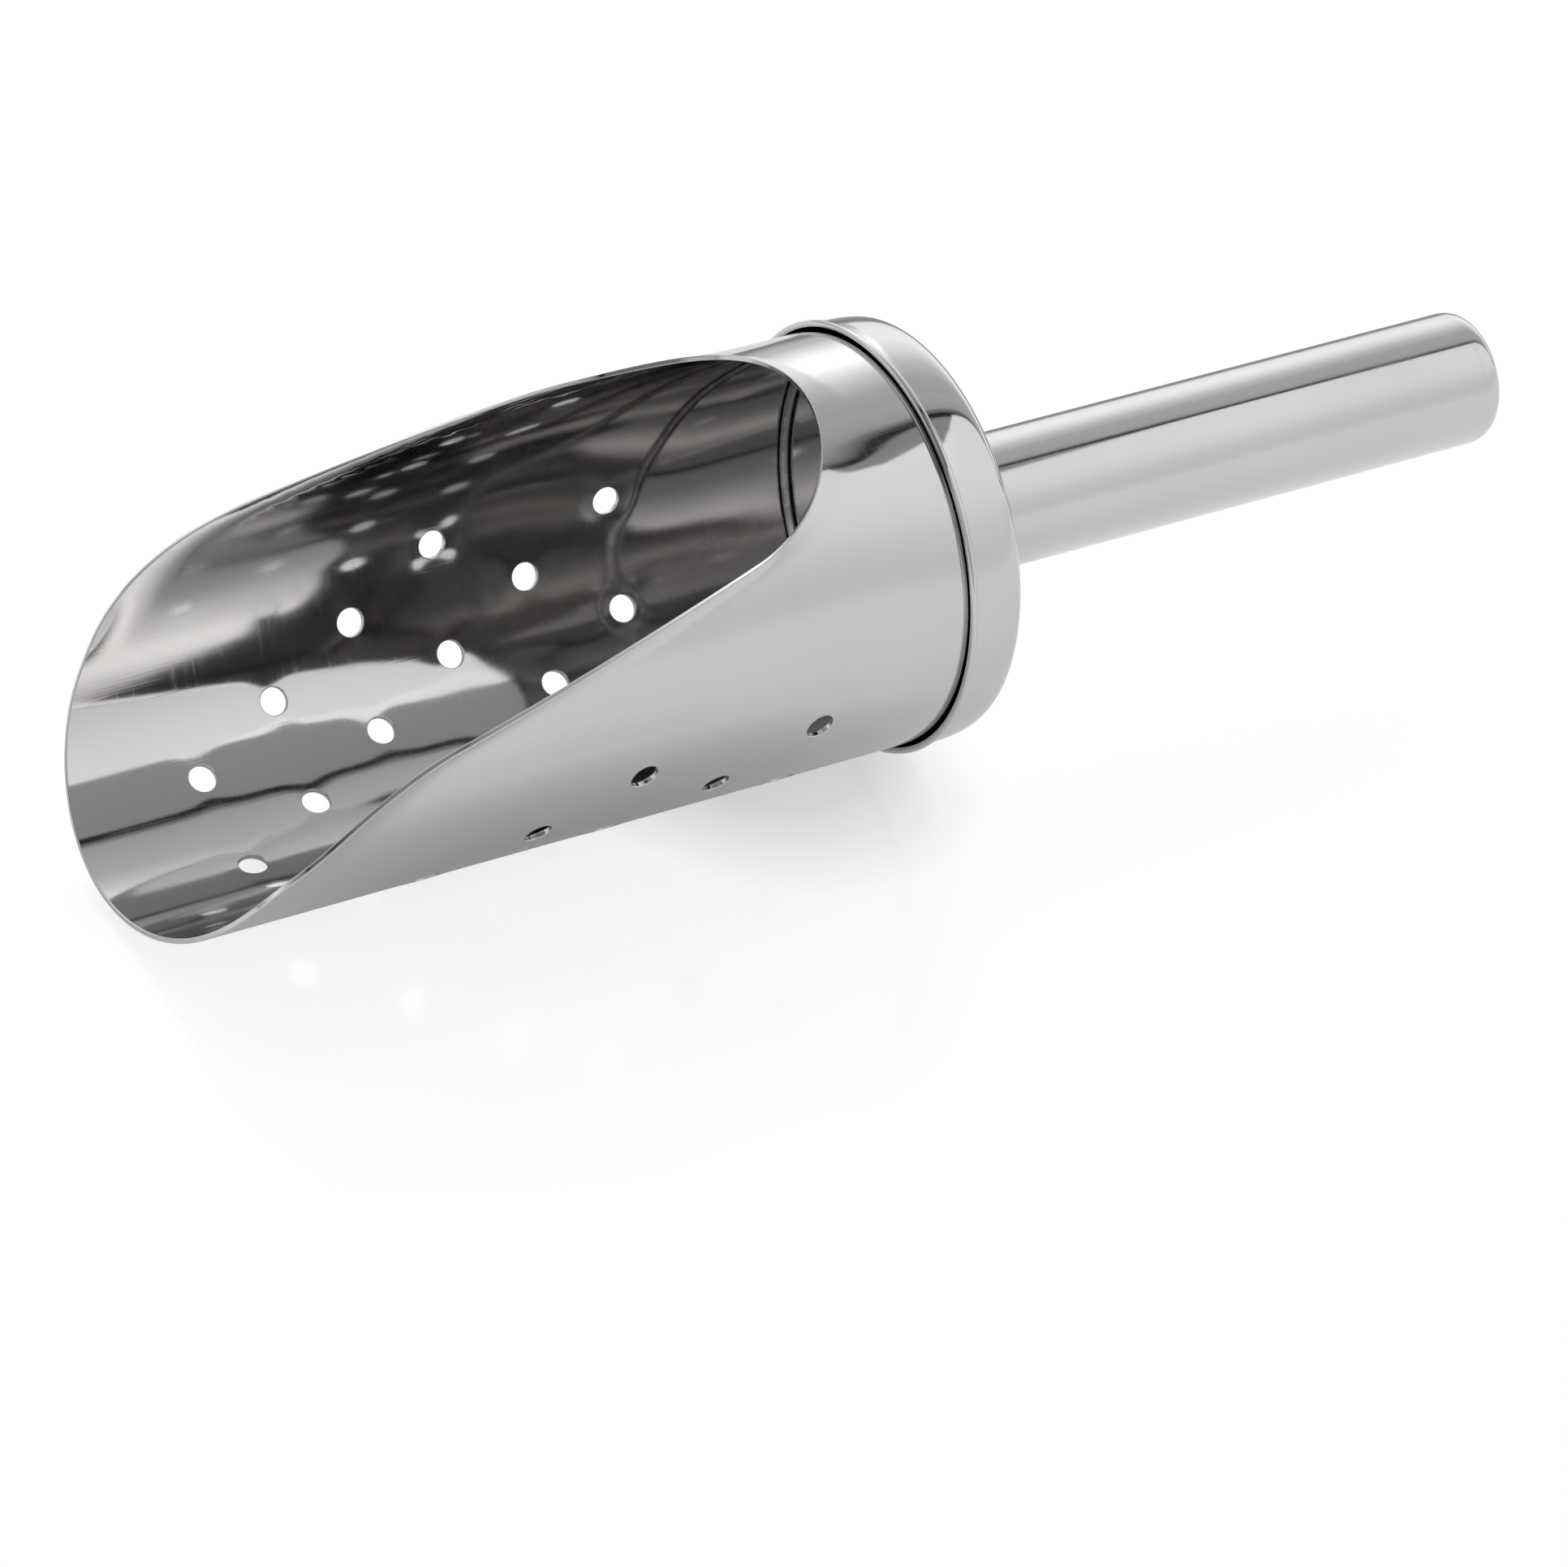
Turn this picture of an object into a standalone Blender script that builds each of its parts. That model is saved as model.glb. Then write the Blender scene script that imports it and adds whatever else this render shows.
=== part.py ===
"""Perforated ice scoop in polished stainless steel.

A thin tube, cut away to form the scoop's mouth and punched with drain holes,
is closed by a disc welded to its rear end. A deep-drawn cap with a rolled
bead fits over that end and carries a tubular handle with a rounded end.

Metres. +X runs along the scoop's axis towards the handle, +Z points out of
the mouth, and the origin lies on the ground below the middle of the scoop.
Stations are distances along the axis from the bead, positive towards the
handle.
"""

import math

import bmesh
import bpy
from mathutils import Matrix

MM = 0.001

# Overall
OVERALL_LENGTH = 283.7 * MM
TIP_TO_BEAD = 147.7 * MM
GAP = 0.3 * MM
SEGMENTS = 72

# Barrel: a thin tube. Its mouth is cut along arcs and straight lines, given on
# the unrolled sheet, and its cut walls spring open a little.
BARREL_RADIUS = 38.0 * MM
BARREL_WALL = 1.0 * MM
BARREL_REAR = 8.3 * MM
BARREL_ROWS = 8
MOUTH_REAR = -17.3 * MM
MOUTH_REAR_ARC = 34.6 * MM
MOUTH_EDGE_ANGLE = math.radians(15.1)
MOUTH_CORNER_ARC = 53.0 * MM
MOUTH_FRONT_ARC = 104.0 * MM
SPREAD = 2.5 * MM
SPREAD_START = -11.0 * MM
SPREAD_FULL = -53.0 * MM
SPREAD_LOW_ANGLE = math.radians(60.0)
SPREAD_HIGH_ANGLE = math.radians(105.0)

# Drain holes: staggered rows to each side of the bottom centre line. Columns
# are half a pitch apart and counted from the rear.
HOLE_DIAMETER = 5.2 * MM
HOLE_SIDES = 16
HOLE_HALF_PITCH = 18.04 * MM
HOLE_FIRST_COLUMN = -29.3 * MM
HOLE_ROW_ANGLE = math.radians(15.6)
HOLE_COLUMNS = {0: (1, 3, 5), 1: (0, 2, 4), 2: (1, 3, 5), 3: (0, 2, 4), 4: (1, 3), 5: (0, 2)}

# Disc that closes the barrel, and the weld in the corner between the two
DISC_RADIUS = 37.5 * MM
DISC_FACE = BARREL_REAR + GAP
DISC_SHEET = 0.8 * MM
SEAM_WELD_AXIAL = 1.0 * MM
SEAM_WELD_RADIAL = 1.4 * MM

# End cap, a shallow cup whose rim is rolled into a bead as thick as two sheets
CAP_INNER_RADIUS = BARREL_RADIUS + GAP
CAP_SHEET = 0.75 * MM
CAP_DEPTH = 12.2 * MM
CAP_SHOULDER = 8.0 * MM
CAP_FLAT_RADIUS = 33.0 * MM
CAP_RADIUS = CAP_INNER_RADIUS + CAP_SHEET
BEAD_RADIUS = CAP_RADIUS + CAP_SHEET

# Handle tube, its rounded end and the weld at its root
HANDLE_RADIUS = 12.5 * MM
HANDLE_WALL = 1.0 * MM
HANDLE_ROOT = CAP_DEPTH + GAP
HANDLE_TIP = OVERALL_LENGTH - TIP_TO_BEAD
HANDLE_END_LENGTH = 4.7 * MM
HANDLE_CORNER = 3.7 * MM
HANDLE_DOME = 0.3 * MM
ROOT_WELD = 1.5 * MM

# Place of the axis and of the bead in the part's frame
BEAD_X = TIP_TO_BEAD - OVERALL_LENGTH / 2
AXIS_Z = BEAD_RADIUS


def clear_scene():
    for item in list(bpy.data.objects):
        bpy.data.objects.remove(item, do_unlink=True)


def steel(name, colour, roughness):
    material = bpy.data.materials.new(name)
    material.use_nodes = True
    shader = material.node_tree.nodes["Principled BSDF"]
    shader.inputs["Base Color"].default_value = (*colour, 1.0)
    shader.inputs["Metallic"].default_value = 1.0
    shader.inputs["Roughness"].default_value = roughness
    return material


def add_object(name, bm):
    """Make an object with smooth round faces and sharp corners."""
    mesh = bpy.data.meshes.new(name)
    bm.to_mesh(mesh)
    bm.free()
    mesh.shade_smooth()
    mesh.set_sharp_from_angle(angle=math.radians(35.0))
    item = bpy.data.objects.new(name, mesh)
    bpy.context.scene.collection.objects.link(item)
    return item


def arc(centre, radii, start, end, steps):
    """Points (station, radius) along part of an ellipse, angles in degrees."""
    points = []
    for i in range(steps + 1):
        angle = math.radians(start + (end - start) * i / steps)
        points.append((centre[0] + radii[0] * math.cos(angle), centre[1] + radii[1] * math.sin(angle)))
    return points


def turned(name, profile):
    """Spin an outline of (station, radius) points about the scoop's axis.

    The outline is a closed loop, or it starts and ends on the axis.
    """
    bm = bmesh.new()
    verts = [bm.verts.new((BEAD_X + station, 0.0, AXIS_Z + radius)) for station, radius in profile]
    edges = [bm.edges.new(pair) for pair in zip(verts, verts[1:])]
    if profile[0][1] > 0.0:
        edges.append(bm.edges.new((verts[-1], verts[0])))
    bmesh.ops.spin(
        bm,
        geom=verts + edges,
        cent=(0.0, 0.0, AXIS_Z),
        axis=(1.0, 0.0, 0.0),
        angle=math.tau,
        steps=SEGMENTS,
        use_merge=True,
    )
    bmesh.ops.remove_doubles(bm, verts=bm.verts, dist=1e-6)
    bmesh.ops.recalc_face_normals(bm, faces=bm.faces)
    return add_object(name, bm)


def around_axis(station, angle, radius):
    """Position at an angle from the bottom centre line."""
    return (BEAD_X + station, radius * math.sin(angle), AXIS_Z - radius * math.cos(angle))


def smoothstep(value, low, high):
    share = min(1.0, max(0.0, (value - low) / (high - low)))
    return share * share * (3.0 - 2.0 * share)


def mouth_station(angle):
    """Station of the mouth's edge at an angle from the bottom centre line.

    On the unrolled sheet each half of the edge runs along a wide arc across
    the tongue, a tighter corner arc, a straight line and the rear arc, all
    tangent to each other.
    """
    across = BARREL_RADIUS * abs(angle)
    slope_sin = math.sin(MOUTH_EDGE_ANGLE)
    slope_cos = math.cos(MOUTH_EDGE_ANGLE)
    rear_x = MOUTH_REAR - MOUTH_REAR_ARC
    rear_across = math.pi * BARREL_RADIUS
    line = slope_cos * rear_across - slope_sin * rear_x - MOUTH_REAR_ARC
    front_x = MOUTH_FRONT_ARC - TIP_TO_BEAD
    reach = MOUTH_FRONT_ARC - MOUTH_CORNER_ARC
    turn = math.asin((line - MOUTH_CORNER_ARC + slope_sin * front_x) / reach) - MOUTH_EDGE_ANGLE
    corner_x = front_x - reach * math.cos(turn)
    corner_across = reach * math.sin(turn)
    if across <= MOUTH_FRONT_ARC * math.sin(turn):
        return front_x - math.sqrt(MOUTH_FRONT_ARC**2 - across**2)
    if across <= corner_across + MOUTH_CORNER_ARC * slope_cos:
        return corner_x - math.sqrt(MOUTH_CORNER_ARC**2 - (across - corner_across) ** 2)
    if across <= rear_across - MOUTH_REAR_ARC * slope_cos:
        return (slope_cos * across - line) / slope_sin
    return rear_x + math.sqrt(MOUTH_REAR_ARC**2 - (rear_across - across) ** 2)


def barrel_radius(station, angle):
    """The tube's outer radius, larger where the cut walls spring open."""
    along = smoothstep(-station, -SPREAD_START, -SPREAD_FULL)
    around = smoothstep(abs(angle), SPREAD_LOW_ANGLE, SPREAD_HIGH_ANGLE)
    return BARREL_RADIUS + SPREAD * along * around


def make_hole_cutters():
    """One pin for each drain hole, square to the barrel's wall."""
    bm = bmesh.new()
    for row, columns in HOLE_COLUMNS.items():
        for angle in sorted({row * HOLE_ROW_ANGLE, -row * HOLE_ROW_ANGLE}):
            for column in columns:
                station = HOLE_FIRST_COLUMN - column * HOLE_HALF_PITCH
                pin = bmesh.ops.create_cone(
                    bm,
                    cap_ends=True,
                    segments=HOLE_SIDES,
                    radius1=HOLE_DIAMETER / 2,
                    radius2=HOLE_DIAMETER / 2,
                    depth=12.0 * MM,
                )
                bmesh.ops.rotate(bm, verts=pin["verts"], matrix=Matrix.Rotation(angle, 3, "X"))
                bmesh.ops.translate(bm, verts=pin["verts"], vec=around_axis(station, angle, BARREL_RADIUS))
    cutters = add_object("hole_cutters", bm)
    cutters.hide_render = True
    cutters.display_type = "WIRE"
    return cutters


def make_barrel():
    """The outer skin from the mouth's edge to the rear, thickened inwards."""
    bm = bmesh.new()
    rows = []
    for i in range(BARREL_ROWS + 1):
        row = []
        for j in range(SEGMENTS):
            angle = math.pi - math.tau * j / SEGMENTS
            front = mouth_station(angle)
            station = front + (BARREL_REAR - front) * i / BARREL_ROWS
            row.append(bm.verts.new(around_axis(station, angle, barrel_radius(station, angle))))
        rows.append(row)
    for lower, upper in zip(rows, rows[1:]):
        for j in range(SEGMENTS):
            k = (j + 1) % SEGMENTS
            bm.faces.new((lower[j], upper[j], upper[k], lower[k]))
    barrel = add_object("scoop_barrel", bm)
    wall = barrel.modifiers.new("wall", "SOLIDIFY")
    wall.thickness = BARREL_WALL
    wall.offset = -1.0
    wall.use_even_offset = True
    flat_faces = barrel.modifiers.new("flat_faces", "TRIANGULATE")
    flat_faces.quad_method = "SHORTEST_DIAGONAL"
    holes = barrel.modifiers.new("drain_holes", "BOOLEAN")
    holes.operation = "DIFFERENCE"
    holes.solver = "EXACT"
    holes.object = make_hole_cutters()
    return barrel


def make_floor_disc():
    rear = DISC_FACE + DISC_SHEET
    profile = [(DISC_FACE, 0.0), (DISC_FACE, DISC_RADIUS), (rear, DISC_RADIUS), (rear, 0.0)]
    return turned("inner_floor_disc", profile)


def make_seam_weld():
    """A rounded bead of weld in the corner between barrel and disc."""
    corner = (BARREL_REAR, BARREL_RADIUS - BARREL_WALL - GAP)
    profile = [corner] + arc(corner, (SEAM_WELD_AXIAL, SEAM_WELD_RADIAL), 180.0, 270.0, 4)
    return turned("floor_seam_weld", profile)


def make_end_cap():
    """Rolled bead, inner wall and floor, then back round the outer shoulder."""
    inner_radii = (CAP_DEPTH - CAP_SHEET - CAP_SHOULDER, CAP_INNER_RADIUS - CAP_FLAT_RADIUS)
    outer_radii = (CAP_DEPTH - CAP_SHOULDER, CAP_RADIUS - CAP_FLAT_RADIUS)
    shoulder = (CAP_SHOULDER, CAP_FLAT_RADIUS)
    profile = [(CAP_DEPTH, 0.0)]
    profile += arc(shoulder, outer_radii, 0.0, 90.0, 6)
    profile += arc((0.0, CAP_RADIUS), (CAP_SHEET, CAP_SHEET), 0.0, 270.0, 9)
    profile += arc(shoulder, inner_radii, 90.0, 0.0, 6)
    profile += [(CAP_DEPTH - CAP_SHEET, 0.0)]
    return turned("end_cap", profile)


def make_handle_tube():
    end = HANDLE_TIP - HANDLE_END_LENGTH - GAP
    bore = HANDLE_RADIUS - HANDLE_WALL
    profile = [(HANDLE_ROOT, HANDLE_RADIUS), (end, HANDLE_RADIUS), (end, bore), (HANDLE_ROOT, bore)]
    return turned("handle_tube", profile)


def make_handle_end():
    """A pressed cup with a rounded corner and a slightly domed end."""
    front = HANDLE_TIP - HANDLE_END_LENGTH
    corner = (HANDLE_TIP - HANDLE_DOME - HANDLE_CORNER, HANDLE_RADIUS - HANDLE_CORNER)
    inner_corner = HANDLE_CORNER - HANDLE_WALL
    profile = [(HANDLE_TIP, 0.0)]
    profile += arc(corner, (HANDLE_CORNER, HANDLE_CORNER), 0.0, 90.0, 6)
    profile += [(front, HANDLE_RADIUS), (front, HANDLE_RADIUS - HANDLE_WALL)]
    profile += arc(corner, (inner_corner, inner_corner), 90.0, 0.0, 6)
    profile += [(HANDLE_TIP - HANDLE_WALL, 0.0)]
    return turned("handle_end", profile)


def make_root_weld():
    """A rounded bead of weld where the handle stands on the cap."""
    corner = (HANDLE_ROOT, HANDLE_RADIUS + GAP)
    profile = [corner] + arc(corner, (ROOT_WELD, ROOT_WELD), 0.0, 90.0, 4)
    return turned("handle_root_weld", profile)


def main():
    clear_scene()
    polished = steel("polished_steel", (0.80, 0.79, 0.78), 0.06)
    handle_steel = steel("handle_steel", (0.80, 0.79, 0.78), 0.08)
    weld_steel = steel("weld_steel", (0.55, 0.54, 0.53), 0.35)
    for make, material in (
        (make_barrel, polished),
        (make_floor_disc, polished),
        (make_seam_weld, weld_steel),
        (make_end_cap, polished),
        (make_handle_tube, handle_steel),
        (make_handle_end, handle_steel),
        (make_root_weld, weld_steel),
    ):
        make().data.materials.append(material)


main()
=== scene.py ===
"""Looks of the perforated ice scoop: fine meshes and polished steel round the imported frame.

Metres. +X runs along the scoop's axis towards the handle, +Z points out of the mouth. Stations
are distances along the axis from the bead, positive towards the handle.
"""

import math

import bpy
import numpy as np
from mathutils import Matrix, Vector
from mathutils.geometry import delaunay_2d_cdt
from mathutils.kdtree import KDTree


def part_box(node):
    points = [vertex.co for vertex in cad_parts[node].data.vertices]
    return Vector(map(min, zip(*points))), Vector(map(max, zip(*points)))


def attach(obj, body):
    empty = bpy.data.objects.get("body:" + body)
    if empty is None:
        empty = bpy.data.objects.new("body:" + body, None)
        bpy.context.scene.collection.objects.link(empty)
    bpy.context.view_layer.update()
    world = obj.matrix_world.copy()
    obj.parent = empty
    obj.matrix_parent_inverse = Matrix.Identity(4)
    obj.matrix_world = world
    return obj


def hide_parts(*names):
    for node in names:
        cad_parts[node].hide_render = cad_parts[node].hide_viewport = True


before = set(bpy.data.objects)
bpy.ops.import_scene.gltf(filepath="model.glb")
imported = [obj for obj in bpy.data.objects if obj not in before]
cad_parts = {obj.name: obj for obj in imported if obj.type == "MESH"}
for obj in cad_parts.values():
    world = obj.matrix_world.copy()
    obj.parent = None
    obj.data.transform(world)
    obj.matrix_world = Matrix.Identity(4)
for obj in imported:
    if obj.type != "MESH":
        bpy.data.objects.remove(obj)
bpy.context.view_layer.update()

MM = 0.001

# Places taken from the frame. The cap's depth behind the bead's centre is the CAD's own value.
CAP_LOW, CAP_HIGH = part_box("end_cap")
BARREL_LOW, BARREL_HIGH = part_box("scoop_barrel")
DISC_LOW, DISC_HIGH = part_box("inner_floor_disc")
TUBE_LOW, TUBE_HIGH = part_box("handle_tube")
END_LOW, END_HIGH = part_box("handle_end")
CAP_DEPTH = 12.2 * MM
BEAD_X = CAP_HIGH.x - CAP_DEPTH
AXIS_Z = (CAP_LOW.z + CAP_HIGH.z) / 2
BEAD_RADIUS = CAP_HIGH.z - AXIS_Z
TIP_TO_BEAD = BEAD_X - BARREL_LOW.x
BARREL_REAR = BARREL_HIGH.x - BEAD_X
TUBE_RADIUS = TUBE_HIGH.z - AXIS_Z

# Barrel: arcs and lines of the mouth on the unrolled sheet, and its holes, as in the frame. The
# walls spread less than the frame's because the flare below adds the rest.
BARREL_RADIUS = 38.0 * MM
BARREL_WALL = 1.0 * MM
HALF_TURN = math.pi * BARREL_RADIUS
MOUTH_REAR = -17.3 * MM
MOUTH_REAR_ARC = 34.6 * MM
MOUTH_EDGE_ANGLE = math.radians(15.1)
MOUTH_CORNER_ARC = 53.0 * MM
MOUTH_FRONT_ARC = 104.0 * MM
SPREAD = 1.9 * MM
SPREAD_START = 11.0 * MM
SPREAD_FULL = 53.0 * MM
SPREAD_LOW_ANGLE = math.radians(60.0)
SPREAD_HIGH_ANGLE = math.radians(112.0)

# Holes: columns by row. Rows count up both sides from the bottom centre line, columns count
# forward from the one nearest the handle.
HOLE_RADIUS = 2.6 * MM
HOLE_HALF_PITCH = 18.04 * MM
HOLE_FIRST_COLUMN = -29.3 * MM
HOLE_ROW_ANGLE = math.radians(15.6)
HOLE_COLUMNS = {0: (1, 3, 5), 1: (0, 2, 4), 2: (1, 3, 5), 3: (0, 2, 4), 4: (1, 3), 5: (0, 2)}

# Finer shape of the sheet: softened cut edges, dishing round the punched holes, slight waviness
# that fades before the cap, walls that flare towards their rim, and a flat pulled into the near
# side behind the mouth
EDGE_SOFTENING = 0.22 * MM
EDGE_TURNS = 5
DISH_DEPTH = 0.15 * MM
DISH_REACH = 4.0 * MM
WAVE_DEPTH = 0.035 * MM
WAVE_START = 4.0 * MM
WAVE_FULL = 20.0 * MM
SHORT_WAVE = 11.0 * MM
LONG_WAVE = 23.0 * MM
LONG_WAVE_SHARE = 0.6
FLARE = 0.8 * MM
FLARE_REACH = 9.0 * MM
FLARE_LOW_ANGLE = math.radians(68.0)
FLARE_FULL_ANGLE = math.radians(84.0)
FLAT_DEPTH = 0.90 * MM
FLAT_ANGLE = math.radians(-150.0)
FLAT_WIDTH = math.radians(6.5)
FLAT_STEEPNESS = 1.2
FLAT_RETURN = math.radians(60.0)
FLAT_GROWTH = 17.0 * MM
FLAT_SHARPNESS = 7.0

# Mesh of the sheet
SHEET_STEP = 1.15 * MM
EDGE_STEP = 0.6 * MM
OUTLINE_SAMPLES = 8001
BORDER_CLEARANCE = SHEET_STEP * 0.6
MOUTH_MARGIN = EDGE_SOFTENING * 0.98
MERGE_DISTANCE_MM = 1e-5
NORMAL_STEP = 0.02 * MM
SHEET_REAR = BARREL_REAR - EDGE_SOFTENING
RIM_RADIUS = HOLE_RADIUS + EDGE_SOFTENING
HOLE_SEGMENTS = 56
HOLE_RINGS = (0.35 * MM, 0.85 * MM, 1.6 * MM)


def smoothstep(value, low, high):
    share = np.clip((value - low) / (high - low), 0.0, 1.0)
    return share * share * (3.0 - 2.0 * share)


# ---------------------------------------------------------------- barrel

def half_chord(radius, offset):
    """Half the width of a circle at an offset from its centre, and zero beyond it."""
    return np.sqrt(np.maximum(radius**2 - offset**2, 0.0))


def mouth_station(angle):
    """Station of the mouth's edge at an angle from the bottom centre line."""
    across = BARREL_RADIUS * np.abs(angle)
    slope_sin = math.sin(MOUTH_EDGE_ANGLE)
    slope_cos = math.cos(MOUTH_EDGE_ANGLE)
    rear_x = MOUTH_REAR - MOUTH_REAR_ARC
    line = slope_cos * HALF_TURN - slope_sin * rear_x - MOUTH_REAR_ARC
    front_x = MOUTH_FRONT_ARC - TIP_TO_BEAD
    reach = MOUTH_FRONT_ARC - MOUTH_CORNER_ARC
    turn = math.asin((line - MOUTH_CORNER_ARC + slope_sin * front_x) / reach) - MOUTH_EDGE_ANGLE
    corner_x = front_x - reach * math.cos(turn)
    corner_across = reach * math.sin(turn)
    front = front_x - half_chord(MOUTH_FRONT_ARC, across)
    corner = corner_x - half_chord(MOUTH_CORNER_ARC, across - corner_across)
    straight = (slope_cos * across - line) / slope_sin
    rear = rear_x + half_chord(MOUTH_REAR_ARC, HALF_TURN - across)
    return np.select(
        [
            across <= MOUTH_FRONT_ARC * math.sin(turn),
            across <= corner_across + MOUTH_CORNER_ARC * slope_cos,
            across <= HALF_TURN - MOUTH_REAR_ARC * slope_cos,
        ],
        [front, corner, straight],
        rear,
    )


def hole_centres():
    centres = []
    for row, columns in HOLE_COLUMNS.items():
        for angle in sorted({row * HOLE_ROW_ANGLE, -row * HOLE_ROW_ANGLE}):
            for column in columns:
                station = HOLE_FIRST_COLUMN - column * HOLE_HALF_PITCH
                centres.append((station, angle * BARREL_RADIUS))
    return np.array(centres)


HOLES = hole_centres()


def skin_radius(station, angle):
    """Outer radius of the sheet with its spread walls, dishing, flare, flat and waviness."""
    along = smoothstep(-station, SPREAD_START, SPREAD_FULL)
    around = smoothstep(np.abs(angle), SPREAD_LOW_ANGLE, SPREAD_HIGH_ANGLE)
    radius = BARREL_RADIUS + SPREAD * along * around
    across = BARREL_RADIUS * angle
    for hole_x, hole_across in HOLES:
        away = ((station - hole_x) ** 2 + (across - hole_across) ** 2) / DISH_REACH**2
        radius = radius + DISH_DEPTH * np.exp(-away)
    from_rim = np.clip((station - mouth_station(angle)) / FLARE_REACH, 0.0, 1.0)
    upright = smoothstep(np.abs(angle), FLARE_LOW_ANGLE, FLARE_FULL_ANGLE)
    radius = radius + FLARE * along * upright * (1.0 - from_rim) ** 2
    radius = radius + flat_behind_mouth(station, angle)
    free = smoothstep(BARREL_REAR - station, WAVE_START, WAVE_FULL)
    wave = np.sin(station / SHORT_WAVE + 2.0 * np.sin(2.0 * angle)) * np.cos(3.0 * angle + 0.6)
    wave = wave + LONG_WAVE_SHARE * np.sin(station / LONG_WAVE - 5.0 * angle)
    return radius + WAVE_DEPTH * free * wave


def flat_behind_mouth(station, angle):
    """A step outward across FLAT_ANGLE that fades towards the weld and slowly dies out below."""
    to_go = 1.0 + np.minimum(station, 0.0) / FLAT_GROWTH
    grown = 1.0 - np.logaddexp(0.0, FLAT_SHARPNESS * to_go) / FLAT_SHARPNESS
    below = (angle - FLAT_ANGLE) / FLAT_WIDTH
    step = 0.5 + 0.5 * np.tanh(below * FLAT_STEEPNESS)
    fading = 1.0 - smoothstep(angle - FLAT_ANGLE, 2.0 * FLAT_WIDTH, FLAT_RETURN)
    return FLAT_DEPTH * grown * step * fading


def skin_point(station, angle):
    radius = skin_radius(station, angle)
    height = AXIS_Z - radius * np.cos(angle)
    return np.stack([BEAD_X + station, radius * np.sin(angle), height], axis=-1)


def skin_normal(station, angle):
    turn = NORMAL_STEP / BARREL_RADIUS
    along = skin_point(station + NORMAL_STEP, angle) - skin_point(station - NORMAL_STEP, angle)
    around = skin_point(station, angle + turn) - skin_point(station, angle - turn)
    normal = np.cross(around, along)
    return normal / np.linalg.norm(normal, axis=-1, keepdims=True)


def even_steps(points, step):
    """Points at even distances along a dense polyline, its two ends kept."""
    gaps = np.linalg.norm(np.diff(points, axis=0), axis=1)
    lengths = np.concatenate([[0.0], np.cumsum(gaps)])
    count = int(round(lengths[-1] / step))
    wanted = np.linspace(0.0, lengths[-1], count + 1)
    return np.stack([np.interp(wanted, lengths, points[:, k]) for k in (0, 1)], axis=1)


def sheet_outline():
    """The mouth's edge on the unrolled sheet, drawn in by the width of the softened edge."""
    angle = np.linspace(-math.pi, math.pi, OUTLINE_SAMPLES)
    dense = np.stack([mouth_station(angle), angle * BARREL_RADIUS], axis=1)
    edge = even_steps(dense, EDGE_STEP)
    half = len(edge) // 2
    edge[-half:] = edge[:half][::-1] * (1.0, -1.0)
    run = np.gradient(edge, axis=0)
    run[0] = run[-1] = (0.0, 1.0)
    run /= np.linalg.norm(run, axis=1, keepdims=True)
    return edge + EDGE_SOFTENING * np.stack([run[:, 1], -run[:, 0]], axis=1)


def sheet_border():
    """Outline of the flat sheet in four stretches: mouth, far seam, rear edge, near seam."""
    mouth = sheet_outline()
    seam_steps = int((SHEET_REAR - mouth[0, 0]) / SHEET_STEP)
    seam = np.linspace(mouth[0, 0], SHEET_REAR, seam_steps + 1)[1:]
    rear_steps = int(2 * HALF_TURN / SHEET_STEP)
    rear = np.linspace(HALF_TURN, -HALF_TURN, rear_steps + 1)[1:-1]
    far_seam = np.stack([seam, np.full(len(seam), HALF_TURN)], axis=1)
    rear_edge = np.stack([np.full(len(rear), SHEET_REAR), rear], axis=1)
    near_seam = np.stack([seam[::-1], np.full(len(seam), -HALF_TURN)], axis=1)
    return mouth, far_seam, rear_edge, near_seam


def hole_rings():
    """Rims of the holes, and the wider and sparser rings of points round them."""
    turns = np.linspace(0.0, math.tau, HOLE_SEGMENTS, endpoint=False)
    ring = np.stack([np.cos(turns), np.sin(turns)], axis=1)
    rims = [centre + RIM_RADIUS * ring for centre in HOLES]
    wider = [centre + (RIM_RADIUS + out) * ring[:: 1 + k]
             for centre in HOLES for k, out in enumerate(HOLE_RINGS)]
    return rims, wider


def sheet_grid(border):
    """Even grid of points on the flat sheet, clear of its border and of the holes."""
    xs = np.arange(border[:, 0].min(), SHEET_REAR, SHEET_STEP)
    ys = np.arange(-HALF_TURN + SHEET_STEP / 2, HALF_TURN, SHEET_STEP)
    grid = np.stack(np.meshgrid(xs, ys, indexing="ij"), axis=-1).reshape(-1, 2)
    grid = grid[grid[:, 0] > mouth_station(grid[:, 1] / BARREL_RADIUS) + EDGE_SOFTENING]
    clear = RIM_RADIUS + HOLE_RINGS[-1] + SHEET_STEP / 2
    from_holes = np.min(np.linalg.norm(grid[:, None] - HOLES[None], axis=2), axis=1)
    grid = grid[from_holes > clear]
    tree = KDTree(len(border))
    for k, point in enumerate(border):
        tree.insert((point[0], point[1], 0.0), k)
    tree.balance()
    from_border = np.array([tree.find((p[0], p[1], 0.0))[2] for p in grid])
    return grid[from_border > BORDER_CLEARANCE]


def closed_edges(loop):
    return list(zip(loop, loop[1:] + loop[:1]))


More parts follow.
